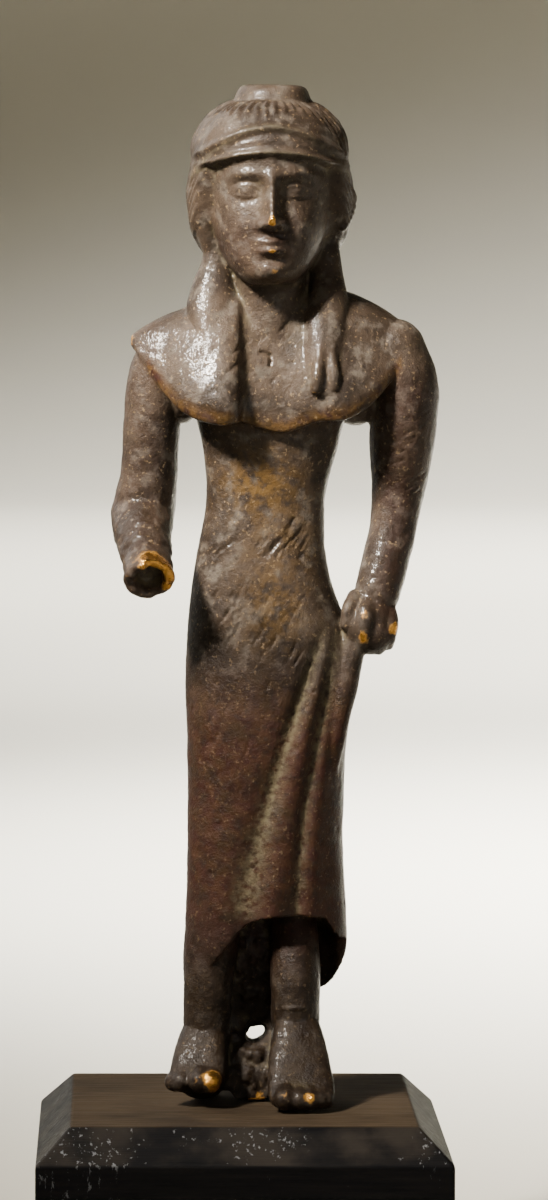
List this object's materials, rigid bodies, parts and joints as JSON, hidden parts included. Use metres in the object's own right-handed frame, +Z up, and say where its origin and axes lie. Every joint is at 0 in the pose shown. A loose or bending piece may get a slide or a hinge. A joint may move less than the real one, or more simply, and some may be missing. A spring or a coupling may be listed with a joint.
{
  "type": "figure statuette",
  "caption": "Cast bronze statuette of a standing woman in a long dress and short mantle, gathering her skirt, with a broken forearm, on a bevelled wooden block.",
  "frame": {"origin": "centre of the wooden block's underside", "axes": "+Z up from the block to the crown, -Y the way the figure faces, +X to a viewer's right"},
  "size_m": [0.053, 0.053, 0.1541],
  "materials": {
    "bronze": "dark brown patina, worn bright on the high points",
    "block_wood": "black paint, rubbed and dusty"
  },
  "bodies": {
    "root": {"statuette": "bronze", "wooden_block": "block_wood"}
  },
  "joints": []
}
